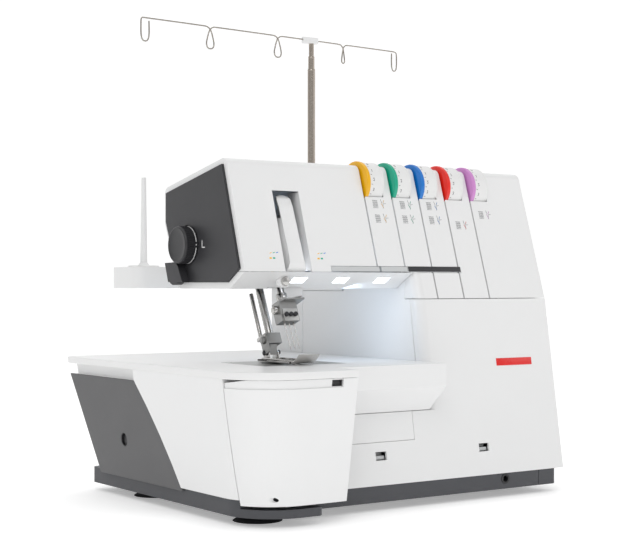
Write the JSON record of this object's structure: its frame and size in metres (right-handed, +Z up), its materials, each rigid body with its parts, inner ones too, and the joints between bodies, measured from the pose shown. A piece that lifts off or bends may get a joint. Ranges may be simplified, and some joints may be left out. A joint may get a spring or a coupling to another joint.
{
  "type": "serger overlock machine",
  "caption": "Overlock sewing machine with flat bed, swing-down looper cover, thumbwheel thread tensions, spool tray and telescopic thread guide.",
  "frame": {"origin": "on the table under the middle of the machine's overall box", "axes": "+X towards the handwheel end, -Y towards the user, +Z up"},
  "size_m": [0.448, 0.384, 0.511],
  "materials": {
    "body_white": "smooth satin-gloss moulding",
    "plate_white": "fine satin moulding",
    "base_grey": "fine spark-eroded grain",
    "panel_grey": "fine grain",
    "cap_charcoal": "satin grain",
    "knob_black": "satin, ribbed",
    "dial_white": "satin",
    "trim_grey": "satin",
    "cast_alloy": "as cast",
    "steel_polished": "polished",
    "steel_satin": "ground",
    "steel_dark": "blackened",
    "pole_nickel": "warm satin nickel",
    "bush_bronze": "sintered",
    "foot_rubber": "matt",
    "belt_rubber": "matt",
    "lamp_lens": "frosted",
    "fitting_black": "satin",
    "motor_black": "satin"
  },
  "bodies": {
    "frame": {"access_panel": "body_white", "bar_bushes": "bush_bronze", "base_tray": "base_grey", "bed_housing": "body_white", "cloth_plate": "plate_white", "front_ledge": "body_white", "head_end_cap": "cap_charcoal", "head_underside": "body_white", "knee_lever_socket": "fitting_black", "lamp_lenses": "lamp_lens", "lower_front_cover": "body_white", "lower_knife": "steel_satin", "machine_frame": "cast_alloy", "motor": "motor_black", "needle_plate": "steel_satin", "power_inlet": "fitting_black", "rear_cover": "body_white", "right_side_cover": "body_white", "side_panel": "panel_grey", "spool_pins": "body_white", "spool_tray": "body_white", "stand_tube_outer": "pole_nickel", "suction_feet": "foot_rubber", "take_up_cover": "body_white", "tension_rail": "steel_satin", "thread_guide_bars": "trim_grey", "throat_wall": "body_white", "timing_belt": "belt_rubber", "upper_front_cover": "body_white"},
    "cover_rail": {"looper_cover_pin": "steel_satin"},
    "looper_cover": {"looper_cover": "body_white", "looper_cover_latch": "fitting_black"},
    "feed": {"feed_dogs": "steel_satin"},
    "needle_group": {"needle_bar": "steel_polished", "needle_clamp": "steel_satin", "needle_screws": "steel_dark", "needles": "steel_polished"},
    "take_up": {"take_up_lever": "steel_polished"},
    "upper_looper": {"upper_looper": "steel_polished"},
    "lower_looper": {"lower_looper": "steel_polished"},
    "upper_knife": {"upper_knife": "steel_satin"},
    "presser": {"presser_bar": "steel_polished", "presser_ankle": "steel_satin"},
    "foot": {"presser_foot": "steel_polished"},
    "lifter": {"presser_lifter": "cap_charcoal"},
    "pressure_dial": {"pressure_dial": "knob_black"},
    "drive_shaft": {"main_shaft": "steel_satin", "handwheel": "body_white"},
    "motor_pulley": {"motor_pulley": "steel_satin"},
    "stitch_dial": {"stitch_length_dial": "knob_black"},
    "power_rocker": {"power_switch": "fitting_black"},
    "tube_middle": {"stand_tube_middle": "pole_nickel"},
    "tube_inner": {"stand_tube_inner": "pole_nickel"},
    "thread_guide": {"guide_block": "body_white", "guide_wire": "steel_polished"},
    "tension_dial_1": {"tension_dial_1": "dial_white"},
    "tension_dial_2": {"tension_dial_2": "dial_white"},
    "tension_dial_3": {"tension_dial_3": "dial_white"},
    "tension_dial_4": {"tension_dial_4": "dial_white"},
    "tension_dial_5": {"tension_dial_5": "dial_white"}
  },
  "joints": [
    {"name": "cover_slide", "type": "slide", "parent": "frame", "child": "cover_rail", "axis": [1, 0, 0], "range_m": [0, 0.008]},
    {"name": "cover_swing", "type": "hinge", "parent": "cover_rail", "child": "looper_cover", "pos_m": [-0.14, -0.1655, 0.0265], "axis": [1, 0, 0], "range_deg": [0, 90]},
    {"name": "feed_stroke", "type": "slide", "parent": "frame", "child": "feed", "axis": [0, 1, 0], "range_m": [-0.002, 0.002]},
    {"name": "needle_stroke", "type": "slide", "parent": "frame", "child": "needle_group", "axis": [0, 0.3907, 0.9205], "range_m": [-0.018, 0.008]},
    {"name": "take_up_swing", "type": "hinge", "parent": "frame", "child": "take_up", "pos_m": [-0.1245, -0.066, 0.262], "axis": [1, 0, 0], "range_deg": [-9, 9]},
    {"name": "upper_looper_swing", "type": "hinge", "parent": "frame", "child": "upper_looper", "pos_m": [-0.07, -0.12, 0.058], "axis": [0, 1, 0], "range_deg": [-9, 9]},
    {"name": "lower_looper_swing", "type": "hinge", "parent": "frame", "child": "lower_looper", "pos_m": [-0.146, -0.12, 0.058], "axis": [0, 1, 0], "range_deg": [-9, 9]},
    {"name": "upper_knife_swing", "type": "hinge", "parent": "frame", "child": "upper_knife", "pos_m": [-0.03, -0.118, 0.078], "axis": [0, 1, 0], "range_deg": [-6, 6]},
    {"name": "lifter_swing", "type": "hinge", "parent": "frame", "child": "lifter", "pos_m": [-0.18, 0.016, 0.232], "axis": [1, 0, 0], "range_deg": [0, 35.1]},
    {"name": "presser_lift", "type": "slide", "parent": "frame", "child": "presser", "axis": [0, 0.3907, 0.9205], "range_m": [0, 0.006]},
    {"name": "foot_tilt", "type": "hinge", "parent": "presser", "child": "foot", "pos_m": [-0.1087, -0.046, 0.153], "axis": [1, 0, 0], "range_deg": [-6, 0]},
    {"name": "pressure_turn", "type": "hinge", "parent": "frame", "child": "pressure_dial", "pos_m": [-0.185, 0.0016, 0.2605], "axis": [1, 0, 0], "range_deg": [-150, 150]},
    {"name": "main_turn", "type": "hinge", "parent": "frame", "child": "drive_shaft", "pos_m": [0.1, 0.01, 0.1], "axis": [1, 0, 0], "continuous": true},
    {"name": "motor_turn", "type": "hinge", "parent": "frame", "child": "motor_pulley", "pos_m": [0.15, 0.058, 0.066], "axis": [1, 0, 0], "continuous": true},
    {"name": "stitch_turn", "type": "hinge", "parent": "frame", "child": "stitch_dial", "pos_m": [0.206, -0.07, 0.072], "axis": [1, 0, 0], "range_deg": [-135, 135]},
    {"name": "power_rock", "type": "hinge", "parent": "frame", "child": "power_rocker", "pos_m": [0.2045, 0.036, 0.05], "axis": [0, 1, 0], "range_deg": [-10, 0]},
    {"name": "middle_slide", "type": "slide", "parent": "frame", "child": "tube_middle", "axis": [0, 0, 1], "range_m": [0, 0.11]},
    {"name": "inner_slide", "type": "slide", "parent": "tube_middle", "child": "tube_inner", "axis": [0, 0, 1], "range_m": [0, 0.11]},
    {"name": "guide_turn", "type": "hinge", "parent": "tube_inner", "child": "thread_guide", "pos_m": [0.0686, 0.14, 0.508], "axis": [0, 0, 1], "range_deg": [-25, 25]},
    {"name": "tension_1_turn", "type": "hinge", "parent": "frame", "child": "tension_dial_1", "pos_m": [-0.004, -0.0577, 0.3247], "axis": [1, 0, 0], "range_deg": [-140, 140]},
    {"name": "tension_2_turn", "type": "hinge", "parent": "frame", "child": "tension_dial_2", "pos_m": [0.0314, -0.0577, 0.3247], "axis": [1, 0, 0], "range_deg": [-140, 140]},
    {"name": "tension_3_turn", "type": "hinge", "parent": "frame", "child": "tension_dial_3", "pos_m": [0.0668, -0.0577, 0.3247], "axis": [1, 0, 0], "range_deg": [-140, 140]},
    {"name": "tension_4_turn", "type": "hinge", "parent": "frame", "child": "tension_dial_4", "pos_m": [0.1022, -0.0577, 0.3247], "axis": [1, 0, 0], "range_deg": [-140, 140]},
    {"name": "tension_5_turn", "type": "hinge", "parent": "frame", "child": "tension_dial_5", "pos_m": [0.1376, -0.0577, 0.3247], "axis": [1, 0, 0], "range_deg": [-140, 140]}
  ],
  "couplings": [
    {"joint": "take_up_swing", "follows": "needle_stroke", "rad_per_m": 7.75},
    {"joint": "upper_looper_swing", "follows": "needle_stroke", "rad_per_m": 8},
    {"joint": "lower_looper_swing", "follows": "needle_stroke", "rad_per_m": -8},
    {"joint": "upper_knife_swing", "follows": "needle_stroke", "rad_per_m": 5},
    {"joint": "lifter_swing", "follows": "presser_lift", "rad_per_m": 101.81},
    {"joint": "motor_turn", "follows": "main_turn", "ratio": 3.1111}
  ]
}
